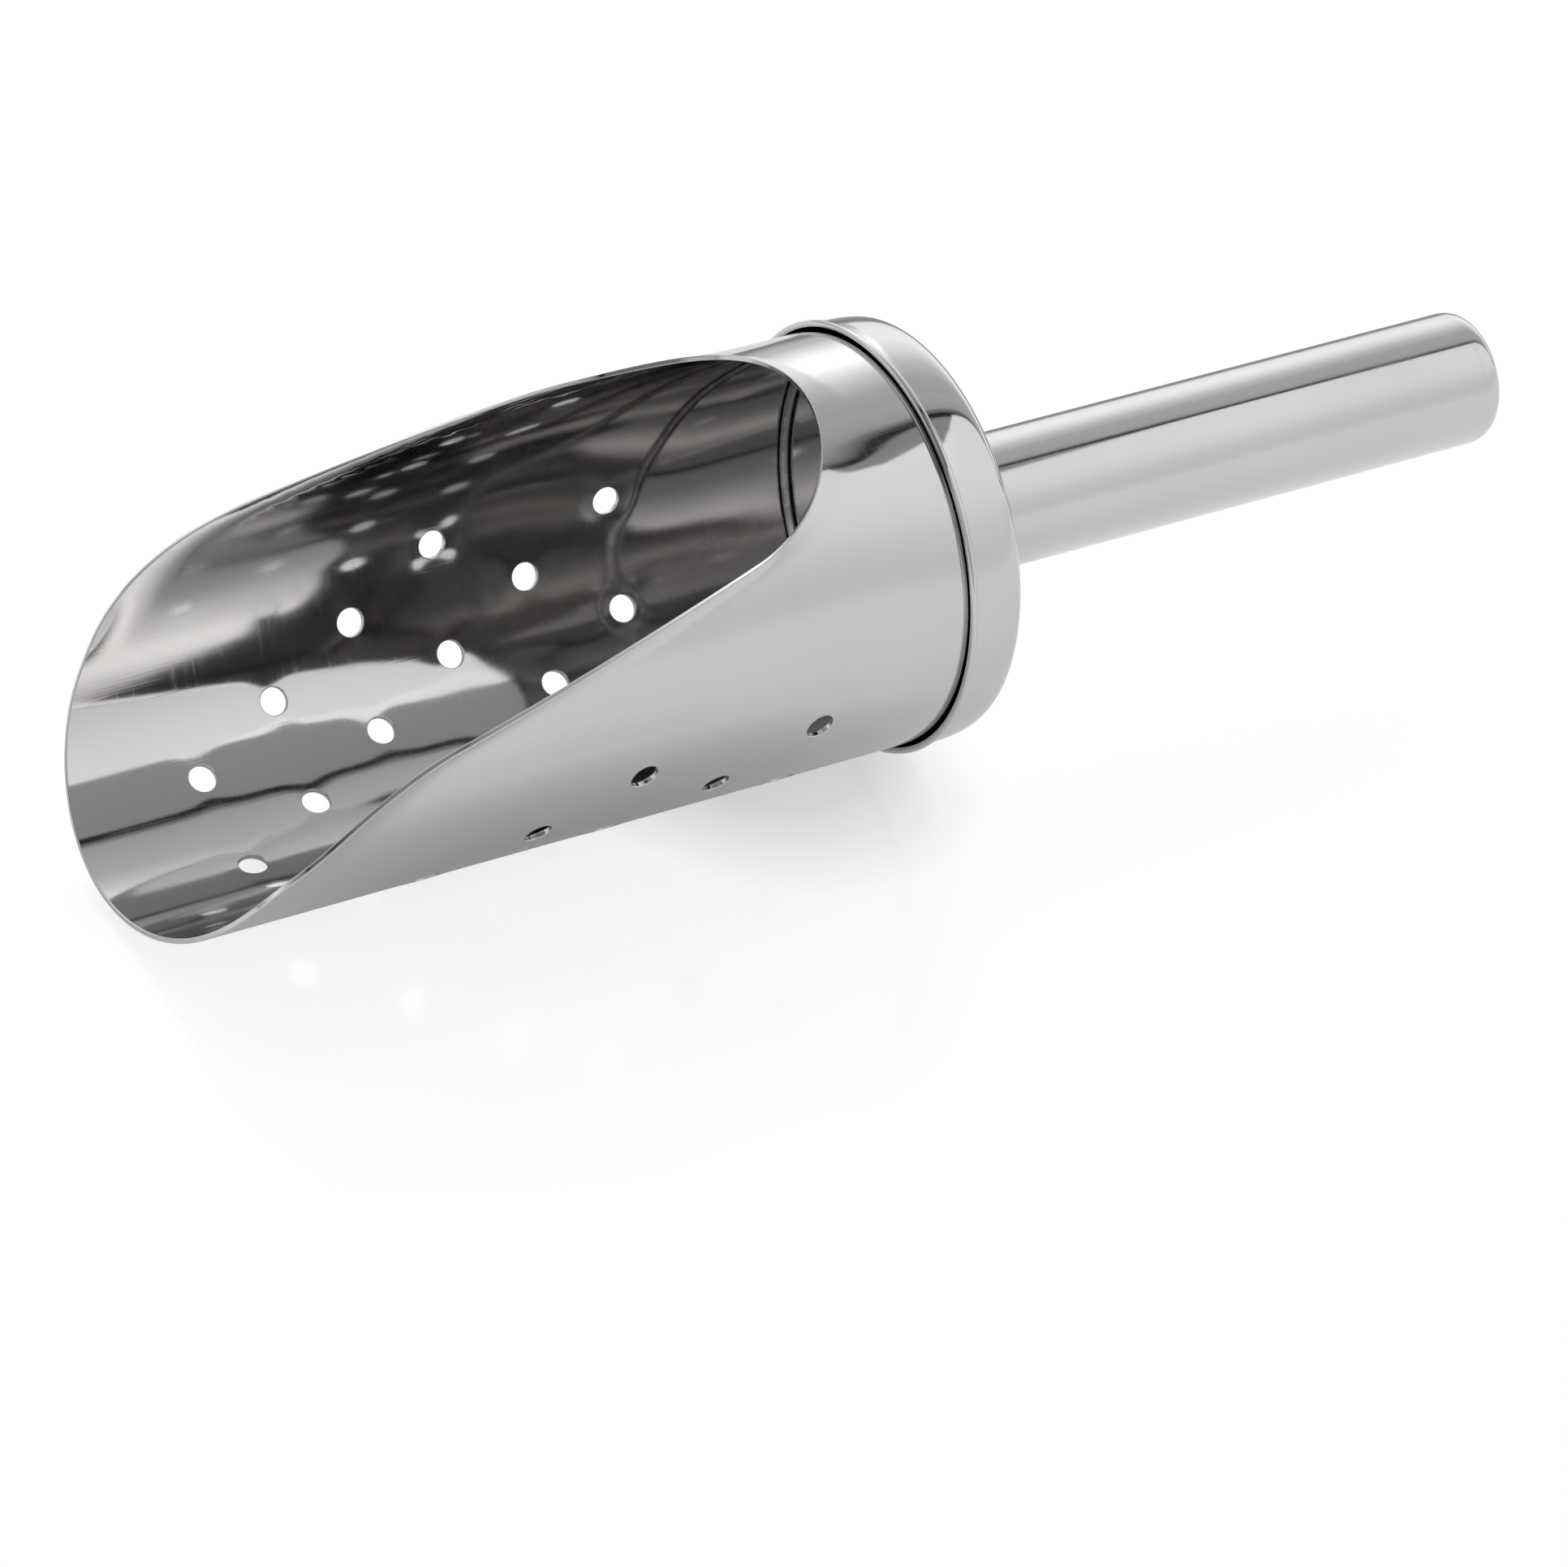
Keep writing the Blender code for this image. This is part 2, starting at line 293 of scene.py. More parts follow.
def sheet_triangles(points, border_count, hole_loops):
    """Triangles between the points, without those that fill a hole or bridge the mouth."""
    edges = closed_edges(list(range(border_count)))
    owner = np.full(len(points), -1)
    owner[:border_count] = 0
    for k, loop in enumerate(hole_loops):
        edges += closed_edges(loop)
        owner[loop] = k + 1
    flat = [Vector((p[0] / MM, p[1] / MM)) for p in points]
    _, _, faces, origin, _, _ = delaunay_2d_cdt(flat, edges, [], 0, MERGE_DISTANCE_MM)
    triangles = []
    for face in faces:
        a, b, c = (origin[i][0] for i in face)
        if owner[a] > 0 and owner[a] == owner[b] == owner[c]:
            continue
        if owner[a] == owner[b] == owner[c] == 0:
            middle = (points[a] + points[b] + points[c]) / 3
            if middle[0] < mouth_station(middle[1] / BARREL_RADIUS) + MOUTH_MARGIN:
                continue
        triangles.append((a, b, c))
    return triangles


def unrolled_sheet():
    """Points, triangles and edge loops of the flat sheet, its seam already joined."""
    stretches = sheet_border()
    border = np.concatenate(stretches)
    mouth_count, seam_count, rear_count, _ = (len(stretch) for stretch in stretches)
    rims, wider = hole_rings()
    points = np.concatenate([border, *rims, *wider, sheet_grid(border)])
    starts = range(len(border), len(border) + len(rims) * HOLE_SEGMENTS, HOLE_SEGMENTS)
    hole_loops = [list(range(start, start + HOLE_SEGMENTS)) for start in starts]
    triangles = sheet_triangles(points, len(border), hole_loops)

    joined = list(range(len(points)))
    joined[mouth_count - 1] = 0
    for k in range(seam_count):
        joined[mouth_count + k] = len(border) - 1 - k
    rear_start = mouth_count + seam_count - 1
    mouth_loop = joined[: mouth_count - 1]
    rear_loop = joined[rear_start : rear_start + rear_count + 1]
    triangles = [tuple(joined[k] for k in t) for t in triangles]
    return points, triangles, mouth_loop, rear_loop, hole_loops


def rim_sections():
    """Steps across a cut edge: way outward as a share of the softening, depth, normal's lean."""
    steps = []
    for k in range(1, EDGE_TURNS + 1):
        angle = math.pi / 2 * k / EDGE_TURNS
        steps.append((math.sin(angle), EDGE_SOFTENING * (1.0 - math.cos(angle)), math.cos(angle)))
    for out, depth, lean in reversed(steps):
        steps.append((out, BARREL_WALL - depth, -lean))
    return steps


def make_barrel():
    """Skin and inner side of the sheet, joined by softened edges at mouth, rear and holes."""
    points, triangles, mouth_loop, rear_loop, hole_loops = unrolled_sheet()
    used = sorted({k for t in triangles for k in t})
    place = {k: n for n, k in enumerate(used)}
    station, angle = points[used, 0], points[used, 1] / BARREL_RADIUS
    outer = skin_point(station, angle)
    normal = skin_normal(station, angle)
    count = len(used)
    coords = [outer, outer - BARREL_WALL * normal]
    normals = [normal, -normal]
    faces = []
    for a, b, c in triangles:
        a, b, c = place[a], place[b], place[c]
        way = np.dot(np.cross(outer[b] - outer[a], outer[c] - outer[a]), normal[a])
        if way < 0:
            b, c = c, b
        faces.append((a, b, c))
        faces.append((a + count, c + count, b + count))
    total = 2 * count
    directed = {edge for face in faces if face[0] < count for edge in closed_edges(face)}
    for loop in (mouth_loop, rear_loop, *hole_loops):
        ring = [place[k] for k in loop]
        if (ring[0], ring[1]) not in directed:
            ring.reverse()
        here, up = outer[ring], normal[ring]
        run = np.roll(here, -1, axis=0) - np.roll(here, 1, axis=0)
        out = np.cross(run, up)
        out /= np.linalg.norm(out, axis=1, keepdims=True)
        previous = ring
        for share, depth, lean in rim_sections():
            coords.append(here + EDGE_SOFTENING * share * out - depth * up)
            side = share * out + lean * up
            normals.append(side / np.linalg.norm(side, axis=1, keepdims=True))
            current = list(range(total, total + len(ring)))
            total += len(ring)
            faces += strip(previous, current)
            previous = current
        faces += strip(previous, [k + count for k in ring])
    return mesh_object("scoop_barrel_fine", np.concatenate(coords), faces, np.concatenate(normals))


def strip(upper, lower):
    """Quads between two loops, facing out of an edge whose upper loop runs with the sheet."""
    size = len(upper)
    return [(upper[(k + 1) % size], upper[k], lower[k], lower[(k + 1) % size]) for k in range(size)]


# ---------------------------------------------------------------- turned pieces

# Segments round the axis, and the points added beside corners of an outline
ROUND_SEGMENTS = 256
SUPPORT_DISTANCE = 0.04 * MM
SHORTEST_SUPPORTED = 8 * SUPPORT_DISTANCE
NO_LENGTH = 1e-9
CORNER_LENGTHS = 4.0
CORNER_TURN = math.radians(12.0)

# Sizes. The handle's wall and the seam weld's height are the CAD's own, the cap's sheet and the
# bead's roll are slimmer than in the CAD, and the CAD has none of the rest.
DISC_SOFTENING = 0.15 * MM
DISC_DISH = 0.12 * MM
DISC_STEPS = 24
SEAM_WELD_HEIGHT = 1.4 * MM
SEAM_WELD_SOFTENING = 0.06 * MM
BEAD_ROLL = 0.66 * MM
CREASE_STATION = 0.95 * MM
CREASE_RADIUS = 0.28 * MM
CAP_SHEET = 0.55 * MM
HANDLE_WALL = 1.0 * MM
TUBE_SOFTENING = 0.12 * MM
ROOT_WELD_SOFTENING = 0.03 * MM

# Bend radii of the rounded shoulders, by the normal's angle from the axis
CAP_BENDS = (
    (90, 80.0 * MM), (85, 32.0 * MM), (80, 13.0 * MM), (74, 6.0 * MM),
    (64, 3.4 * MM), (45, 3.7 * MM), (20, 6.0 * MM), (0, 8.0 * MM),
)
END_BENDS = (
    (90, 8.0 * MM), (78, 5.0 * MM), (65, 2.8 * MM),
    (25, 2.8 * MM), (12, 8.0 * MM), (0, 40.0 * MM),
)


def arc(centre, radii, start, end, steps):
    """Points (station, radius) along part of an ellipse, angles in degrees."""
    x, y = centre
    along, out = radii
    angles = np.radians(np.linspace(start, end, steps + 1))
    return [(x + along * math.cos(a), y + out * math.sin(a)) for a in angles]


def bent(end, radius, bends, steps):
    """Points from the axial end out to a cylinder of the given radius.

    Bends lists bend radii at the angles between the normal and the axis, in degrees.
    """
    turns = np.linspace(90.0, 0.0, steps + 1)
    middle = (turns[1:] + turns[:-1]) / 2
    places, sizes = zip(*sorted(bends))
    run = np.exp(np.interp(middle, places, np.log(sizes))) * math.radians(90.0 / steps)
    ahead = np.concatenate([[0.0], np.cumsum(run * np.sin(np.radians(middle)))])
    down = np.concatenate([[0.0], np.cumsum(run * np.cos(np.radians(middle)))])
    return list(zip((end - ahead[-1] + ahead).tolist(), (radius - down).tolist()))[::-1]


def held_ends(profile):
    """Adds points close to corners, so that shading stays true to the flats beside them."""
    spots = [Vector(point) for point in profile]
    size = len(spots)
    points = []
    for k, here in enumerate(spots):
        after = spots[(k + 1) % size]
        run = after - here
        points.append(profile[k])
        if run.length <= SHORTEST_SUPPORTED:
            continue
        support = run.normalized() * SUPPORT_DISTANCE
        if is_corner(run, here - spots[k - 1]):
            points.append(tuple(here + support))
        if is_corner(run, spots[(k + 2) % size] - after):
            points.append(tuple(after - support))
    return points


def is_corner(run, neighbour):
    """True where a stretch meets a much shorter one or turns by more than a smooth curve does."""
    if neighbour.length < NO_LENGTH:
        return False
    return run.length > CORNER_LENGTHS * neighbour.length or run.angle(neighbour) > CORNER_TURN


def turned(name, profile):
    """Revolves an outline of (station, radius) points about the scoop's axis.

    The outline runs round a solid ring, or from the axis out and back to the axis.
    """
    on_axis = profile[0][1] == 0.0
    outline = held_ends(profile)
    if on_axis:
        outline = outline[: outline.index(profile[-1]) + 1]
    area = sum(a[0] * b[1] - b[0] * a[1] for a, b in closed_edges(outline))
    if area < 0:
        outline.reverse()
    turns = np.linspace(0.0, math.tau, ROUND_SEGMENTS, endpoint=False)
    coords, rings = [], []
    for station, radius in outline:
        if radius == 0.0:
            rings.append([len(coords)] * ROUND_SEGMENTS)
            coords.append((BEAD_X + station, 0.0, AXIS_Z))
            continue
        rings.append(list(range(len(coords), len(coords) + ROUND_SEGMENTS)))
        coords += [
            (BEAD_X + station, radius * math.sin(t), AXIS_Z - radius * math.cos(t)) for t in turns
        ]
    pairs = list(zip(rings, rings[1:])) + ([] if on_axis else [(rings[-1], rings[0])])
    faces = []
    for lower, upper in pairs:
        for k in range(ROUND_SEGMENTS):
            after = (k + 1) % ROUND_SEGMENTS
            corners = [lower[k], upper[k], upper[after], lower[after]]
            kept = [c for i, c in enumerate(corners) if c not in corners[:i]]
            if len(kept) > 2:
                faces.append(tuple(kept))
    return mesh_object(name, np.array(coords), faces)


def mesh_object(name, coords, faces, normals=None):
    mesh = bpy.data.meshes.new(name)
    mesh.from_pydata(coords.tolist(), [], faces)
    mesh.validate()
    mesh.shade_smooth()
    if normals is not None:
        mesh.normals_split_custom_set_from_vertices(normals.tolist())
    item = bpy.data.objects.new(name, mesh)
    bpy.context.scene.collection.objects.link(item)
    return item


def make_disc():
    """Slightly dished disc with a softened edge."""
    face, back = DISC_LOW.x - BEAD_X, DISC_HIGH.x - BEAD_X
    flat = DISC_HIGH.z - AXIS_Z - DISC_SOFTENING
    soft = (DISC_SOFTENING, DISC_SOFTENING)
    profile = [(face + DISC_DISH, 0.0)]
    for k in range(1, DISC_STEPS):
        share = k / DISC_STEPS
        profile.append((face + DISC_DISH * (1.0 - share**2) ** 2, flat * share))
    profile += arc((face + DISC_SOFTENING, flat), soft, 180.0, 90.0, steps=5)
    profile += arc((back - DISC_SOFTENING, flat), soft, 90.0, 0.0, steps=5)
    profile.append((back, 0.0))
    return turned("inner_floor_disc_fine", profile)


def make_seam_weld():
    """Convex bead of weld in the corner between barrel and disc."""
    low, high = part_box("floor_seam_weld")
    x, y = high.x - BEAD_X, high.z - AXIS_Z
    profile = arc((x, y), (high.x - low.x, SEAM_WELD_HEIGHT), 184.0, 266.0, steps=12)
    profile.append((x - SEAM_WELD_SOFTENING, y - SEAM_WELD_SOFTENING / 2))
    return turned("floor_seam_weld_fine", profile)


def make_cap():
    """Rolled bead with a crease behind it, convex skirt, shoulder and flat back."""
    skirt = BEAD_RADIUS - BEAD_ROLL
    crease = (CREASE_STATION, skirt + CREASE_RADIUS)
    inner_back = CAP_DEPTH - CAP_SHEET
    profile = [(CAP_DEPTH, 0.0)]
    profile += bent(CAP_DEPTH, skirt, CAP_BENDS, steps=72)
    profile += arc(crease, (CREASE_RADIUS, CREASE_RADIUS), -90.0, -150.0, steps=6)
    profile += arc((0.0, skirt), (BEAD_ROLL, BEAD_ROLL), 10.0, 270.0, steps=30)
    profile += bent(inner_back, skirt - BEAD_ROLL, CAP_BENDS, steps=40)[::-1]
    profile.append((inner_back, 0.0))
    return turned("end_cap_fine", profile)


def make_tube():
    """Tube whose front edge is softened and whose rear meets the handle's end."""
    start, end = TUBE_LOW.x - BEAD_X, END_LOW.x - BEAD_X
    bore = TUBE_RADIUS - HANDLE_WALL
    corner = (start + TUBE_SOFTENING, TUBE_RADIUS - TUBE_SOFTENING)
    profile = arc(corner, (TUBE_SOFTENING, TUBE_SOFTENING), 180.0, 90.0, steps=4)
    profile += [(end, TUBE_RADIUS), (end, bore), (start, bore)]
    return turned("handle_tube_fine", profile)


def make_end():
    """Rounded corner and a slightly domed end."""
    tip, front = END_HIGH.x - BEAD_X, END_LOW.x - BEAD_X
    bore = TUBE_RADIUS - HANDLE_WALL
    inner_tip = tip - HANDLE_WALL
    profile = [(tip, 0.0)]
    profile += bent(tip, TUBE_RADIUS, END_BENDS, steps=60)
    profile += [(front, TUBE_RADIUS), (front, bore)]
    profile += bent(inner_tip, bore, END_BENDS, steps=30)[::-1]
    profile.append((inner_tip, 0.0))
    return turned("handle_end_fine", profile)


def make_root_weld():
    """Convex bead of weld in the corner between the cap's back and the handle."""
    low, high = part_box("handle_root_weld")
    size = high.x - low.x
    x, y = low.x - BEAD_X, high.z - AXIS_Z - size
    profile = arc((x, y), (size, size), 2.0, 88.0, steps=14)
    profile.append((x + ROOT_WELD_SOFTENING, y + ROOT_WELD_SOFTENING))
    return turned("handle_root_weld_fine", profile)


# ---------------------------------------------------------------- materials

# Polished steel: its tones, and the noise patterns with the ranges in which they act
STEEL_TONE = (0.665, 0.657, 0.651)
CLOUDED_TONE = tuple(0.95 * c for c in STEEL_TONE)
CLOUDS = dict(scale=28.0, stretch=(1.0, 1.0, 1.0), detail=3.0)
CLOUD_HAZE = (0.35, 0.75)
CLOUD_TINT = (0.3, 0.7)
HAIRLINES = dict(scale=40.0, stretch=(60.0, 2.0, 2.0), detail=5.0, roughness=0.65)
HAIRLINE_HAZE = (0.52, 0.78)
HAIRLINE_ROUGHNESS = 0.06
HAIRLINE_HEIGHT = 0.3
SCRATCH_TURN = (0.0, 0.0, 0.18)
SCRATCHES = dict(
    scale=90.0, stretch=(0.35, 30.0, 30.0), detail=2.0, roughness=0.4, turn=SCRATCH_TURN
)
SCRATCH_CUT = (0.62, 0.72)
SCRATCH_DEPTH = 0.004 * MM
SCRATCH_STRENGTH = 0.25

# Brushed haze: its streaks, and where along Z and X it begins and is full
STREAKS = dict(scale=30.0, stretch=(0.6, 22.0, 22.0), detail=6.0, roughness=0.7, turn=SCRATCH_TURN)
STREAK_RANGE = (0.3, 0.7)
FAINTEST_STREAK = 0.3
HAZE_HEIGHTS = (AXIS_Z - 10.0 * MM, AXIS_Z + 2.0 * MM)
HAZE_PLACES = (BEAD_X - 84.0 * MM, BEAD_X - 104.0 * MM)

# Weld metal
WELD_LIGHT = (0.60, 0.59, 0.575)
WELD_DARK = (0.40, 0.39, 0.375)
GRAIN = dict(scale=900.0, stretch=(1.0, 1.0, 1.0), detail=3.0)
GRAIN_RANGE = (0.3, 0.7)
WELD_ROUGHNESS = (0.22, 0.5)
RIPPLES = dict(scale=260.0, stretch=(1.0, 1.0, 1.0), detail=2.0)
RIPPLE_TINT = (0.35, 0.65)
WELD_RELIEF = 0.15 * MM
WELD_STRENGTH = 0.6


def new_material(name):
    material = bpy.data.materials.new(name)
    material.use_nodes = True
    tree = material.node_tree
    return material, tree, tree.nodes["Principled BSDF"]


def split_place(tree, kind):
    """X, Y and Z sockets of a texture coordinate."""
    place = tree.nodes.new("ShaderNodeTexCoord")
    split = tree.nodes.new("ShaderNodeSeparateXYZ")
    tree.links.new(place.outputs[kind], split.inputs["Vector"])
    return split.outputs


def mapped_place(tree, stretch, turn=(0.0, 0.0, 0.0), shift=(0.0, 0.0, 0.0)):
    """Object coordinates, stretched, turned and shifted."""
    place = tree.nodes.new("ShaderNodeTexCoord")
    mapping = tree.nodes.new("ShaderNodeMapping")
    mapping.inputs["Scale"].default_value = stretch
    mapping.inputs["Rotation"].default_value = turn
    mapping.inputs["Location"].default_value = shift
    tree.links.new(place.outputs["Object"], mapping.inputs["Vector"])
    return mapping.outputs["Vector"]


def noise(tree, scale, stretch, detail, roughness=0.5, turn=(0.0, 0.0, 0.0)):
    texture = tree.nodes.new("ShaderNodeTexNoise")
    texture.inputs["Scale"].default_value = scale
    texture.inputs["Detail"].default_value = detail
    texture.inputs["Roughness"].default_value = roughness
    tree.links.new(mapped_place(tree, stretch, turn), texture.inputs["Vector"])
    return texture.outputs["Fac"]


def ranged(tree, value, low_in, high_in, low_out=0.0, high_out=1.0):
    node = tree.nodes.new("ShaderNodeMapRange")
    node.inputs["From Min"].default_value = low_in
    node.inputs["From Max"].default_value = high_in
    node.inputs["To Min"].default_value = low_out
    node.inputs["To Max"].default_value = high_out
    tree.links.new(value, node.inputs["Value"])
    return node.outputs["Result"]


def combine(tree, operation, first, second):
    node = tree.nodes.new("ShaderNodeMath")
    node.operation = operation
    for value, socket in zip((first, second), node.inputs):
        if isinstance(value, (int, float)):
            socket.default_value = value
        else:
            tree.links.new(value, socket)
    return node.outputs["Value"]


def tint(tree, shader, mix, tone, other_tone):
    """Base colour between two tones."""
    node = tree.nodes.new("ShaderNodeMix")
    node.data_type = "RGBA"
    node.inputs["A"].default_value = (*tone, 1.0)
    node.inputs["B"].default_value = (*other_tone, 1.0)
    tree.links.new(mix, node.inputs["Factor"])
    tree.links.new(node.outputs["Result"], shader.inputs["Base Color"])


def emboss(tree, shader, height, strength, depth):
    """Fine relief from a height."""
    node = tree.nodes.new("ShaderNodeBump")
    node.inputs["Strength"].default_value = strength
    node.inputs["Distance"].default_value = depth
    tree.links.new(height, node.inputs["Height"])
    tree.links.new(node.outputs["Normal"], shader.inputs["Normal"])


def polished_steel(name, smooth, hazy, brushed=0.0):
    """Mirror polish: cloudy roughness, fine hairlines, slight tint changes.

    A brushed share adds streaky haze high up and towards the scoop's tip.
    """
    material, tree, shader = new_material(name)
    shader.inputs["Metallic"].default_value = 1.0
    cloud = noise(tree, **CLOUDS)
    hair = noise(tree, **HAIRLINES)
    cloudy = ranged(tree, cloud, *CLOUD_HAZE, smooth, hazy)
    combed = ranged(tree, hair, *HAIRLINE_HAZE, 0.0, HAIRLINE_ROUGHNESS)
    rough = combine(tree, "ADD", cloudy, combed)
    if brushed:
        place = split_place(tree, "Object")
        high = ranged(tree, place["Z"], *HAZE_HEIGHTS)
        ahead = ranged(tree, place["X"], *HAZE_PLACES)
        streak = noise(tree, **STREAKS)
        depth = ranged(tree, streak, *STREAK_RANGE, FAINTEST_STREAK * brushed, brushed)
        haze = combine(tree, "MULTIPLY", combine(tree, "MULTIPLY", high, ahead), depth)
        rough = combine(tree, "ADD", rough, haze)
    tree.links.new(rough, shader.inputs["Roughness"])
    tint(tree, shader, ranged(tree, cloud, *CLOUD_TINT), STEEL_TONE, CLOUDED_TONE)
    scratch = ranged(tree, noise(tree, **SCRATCHES), *SCRATCH_CUT, 0.0, -1.0)
    height = combine(tree, "ADD", scratch, combine(tree, "MULTIPLY", hair, HAIRLINE_HEIGHT))
    emboss(tree, shader, height, SCRATCH_STRENGTH, SCRATCH_DEPTH)
    return material


def welded_steel(name):
    """Cleaned weld: satin, grainy and slightly darker."""
    material, tree, shader = new_material(name)
    shader.inputs["Metallic"].default_value = 1.0
    grain = noise(tree, **GRAIN)
    ripple = noise(tree, **RIPPLES)
    rough = ranged(tree, grain, *GRAIN_RANGE, *WELD_ROUGHNESS)
    tree.links.new(rough, shader.inputs["Roughness"])
    tint(tree, shader, ranged(tree, ripple, *RIPPLE_TINT), WELD_LIGHT, WELD_DARK)
    emboss(tree, shader, combine(tree, "ADD", grain, ripple), WELD_STRENGTH, WELD_RELIEF)
    return material


# ---------------------------------------------------------------- studio

# Two floors: the one the camera sees, and a dimmer one just below it that only reflections see
FLOOR_HALF = 4.0
FLOOR_ROUGHNESS = 0.2
SEEN_FLOOR = dict(glow=0.75, albedo=0.40, gloss=1.0)
MIRRORED_FLOOR = dict(glow=0.33, albedo=0.90, gloss=0.0)
MIRRORED_DEPTH = -0.1 * MM
MIRRORED_FAR_EDGE = (
    (4.0, 0.10), (0.10, 0.10), (0.108, 0.19), (0.182, 0.36), (0.45, 1.5), (-4.0, 1.5),
)

# Shade painted on each floor under the scoop, and the share of light left in its middle
CONTACT_SHADE = dict(
    centre=(BEAD_X - 15.0 * MM, -5.0 * MM), reach=(41.0 * MM, 43.0 * MM), share=0.72
)
MIRRORED_SHADE = dict(
    centre=(BEAD_X - 70.0 * MM, 10.0 * MM), reach=(130.0 * MM, 90.0 * MM), share=0.53
)
SHADE_FULL = 0.6

# Light round the scoop's axis: (degrees from straight up, positive towards the near side; radiance)
STUDIO_BANDS = (
    (-110, 0.38), (-102, 0.26), (-97, 0.50), (-92, 0.68), (-88, 0.70), (-79, 1.10), (-72, 1.40),
    (-66, 1.72), (-58, 1.68), (-50, 1.28), (-38, 0.85), (-27, 0.58), (-15, 0.52), (-7.6, 0.45),
    (-7.0, 0.24), (-5.4, 0.20), (-5.0, 0.02), (-2.2, 0.02), (-1.8, 0.32), (28, 0.35), (29, 1.01),
    (45, 0.95), (62, 0.82), (75, 0.76), (83, 0.78), (90, 0.86),
)
BAND_SCALE = 2.5
MOUTH_SIDE_SHARE = 0.62
MOUTH_SIDE_BLEND = 0.15

# Near panel, level above the scoop: its slanting edge closes the dark gap overhead towards the
# handle. Outline as (x, y), bands as (x, radiance).
NEAR_PANEL_HEIGHT = 0.60
NEAR_PANEL_OUTLINE = (
    (0.229, -0.319), (0.291, -0.242), (0.332, -0.195), (0.365, -0.100), (0.406, -0.026),
    (0.436, 0.016), (3.0, 0.030), (3.0, -0.350), (0.229, -0.350),
)
NEAR_PANEL_BANDS = ((0.20, 1.22), (0.30, 1.13), (0.42, 1.0), (1.0, 1.0))

# Far panel, upright beyond the handle. Outline as (x, z), bands as (z, radiance).
FAR_PANEL_SIDE = 0.80
FAR_PANEL_OUTLINE = (
    (0.465, 0.0), (0.475, 0.21), (0.51, 0.40), (0.57, 0.62), (0.68, 0.93), (0.90, 1.43),
    (1.40, 2.50), (4.0, 2.50), (4.0, 0.0),
)
FAR_PANEL_BANDS = (
    (0.0, 1.0), (0.21, 1.21), (0.40, 1.24), (0.62, 1.06), (0.93, 0.74), (1.43, 0.55), (2.5, 0.50),
)


def stage_surface(name, corners, material):
    """One flat face of the studio that casts no shadow and no light on dull surfaces."""
    mesh = bpy.data.meshes.new(name)
    mesh.from_pydata(corners, [], [tuple(range(len(corners)))])
    mesh.materials.append(material)
    surface = bpy.data.objects.new(name, mesh)
    bpy.context.scene.collection.objects.link(surface)
    surface.visible_diffuse = False
    surface.visible_shadow = False
    return surface


def make_floor(name, outline, depth, glow, albedo, gloss, shade):
    """Glossy glowing floor, with a shade that darkens both its glow and its colour."""
    material, tree, shader = new_material(name)
    shader.inputs["Roughness"].default_value = FLOOR_ROUGHNESS
    shader.inputs["Specular IOR Level"].default_value = gloss
    shader.inputs["Emission Color"].default_value = (1.0, 1.0, 1.0, 1.0)
    (x, y), (reach_x, reach_y) = shade["centre"], shade["reach"]
    gradient = tree.nodes.new("ShaderNodeTexGradient")
    gradient.gradient_type = "SPHERICAL"
    shrink = (1 / reach_x, 1 / reach_y, 1.0)
    place = mapped_place(tree, shrink, shift=(-x / reach_x, -y / reach_y, 0.0))
    tree.links.new(place, gradient.inputs["Vector"])
    level = ranged(tree, gradient.outputs["Fac"], 0.0, SHADE_FULL, 1.0, shade["share"])
    tree.links.new(combine(tree, "MULTIPLY", level, glow), shader.inputs["Emission Strength"])
    tree.links.new(combine(tree, "MULTIPLY", level, albedo), shader.inputs["Base Color"])
    floor = stage_surface(name, [(*corner, depth) for corner in outline], material)
    floor.visible_transmission = False
    return floor


def make_floors():
    """White glossy floor as the camera sees it, over the dimmer one that the steel reflects."""
    half = FLOOR_HALF
    near_edge = ((-half, -half), (half, -half))
    square = (*near_edge, (half, half), (-half, half))
    seen = make_floor("floor", square, 0.0, **SEEN_FLOOR, shade=CONTACT_SHADE)
    seen.visible_glossy = False
    mirrored = make_floor("floor_in_reflections", (*near_edge, *MIRRORED_FAR_EDGE), MIRRORED_DEPTH,
                          **MIRRORED_FLOOR, shade=MIRRORED_SHADE)
    mirrored.visible_camera = False


def radiance_ramp(tree, value, bands):
    """Grey levels along a value, as shares of BAND_SCALE."""
    lowest, highest = bands[0][0], bands[-1][0]
    ramp = tree.nodes.new("ShaderNodeValToRGB")
    stops = ramp.color_ramp.elements
    while len(stops) < len(bands):
        stops.new(1.0)
    for stop, (place, radiance) in zip(stops, bands):
        level = radiance / BAND_SCALE
        stop.position = (place - lowest) / (highest - lowest)
        stop.color = (level, level, level, 1.0)
    tree.links.new(ranged(tree, value, lowest, highest), ramp.inputs["Fac"])
    return ramp.outputs["Color"]


def make_panel(name, corners, axis, bands):
    """Flat light that only reflections see, graded along an axis."""
    material, tree, shader = new_material(name)
    shader.inputs["Base Color"].default_value = (0.0, 0.0, 0.0, 1.0)
    shader.inputs["Specular IOR Level"].default_value = 0.0
    level = radiance_ramp(tree, split_place(tree, "Object")[axis], bands)
    tree.links.new(level, shader.inputs["Emission Color"])
    shader.inputs["Emission Strength"].default_value = BAND_SCALE
    stage_surface(name, corners, material).visible_camera = False


def make_panels():
    near = [(x, y, AXIS_Z + NEAR_PANEL_HEIGHT) for x, y in NEAR_PANEL_OUTLINE]
    make_panel("near_panel", near, "X", NEAR_PANEL_BANDS)
    far = [(x, FAR_PANEL_SIDE, z) for x, z in FAR_PANEL_OUTLINE]
    make_panel("far_panel", far, "Z", FAR_PANEL_BANDS)


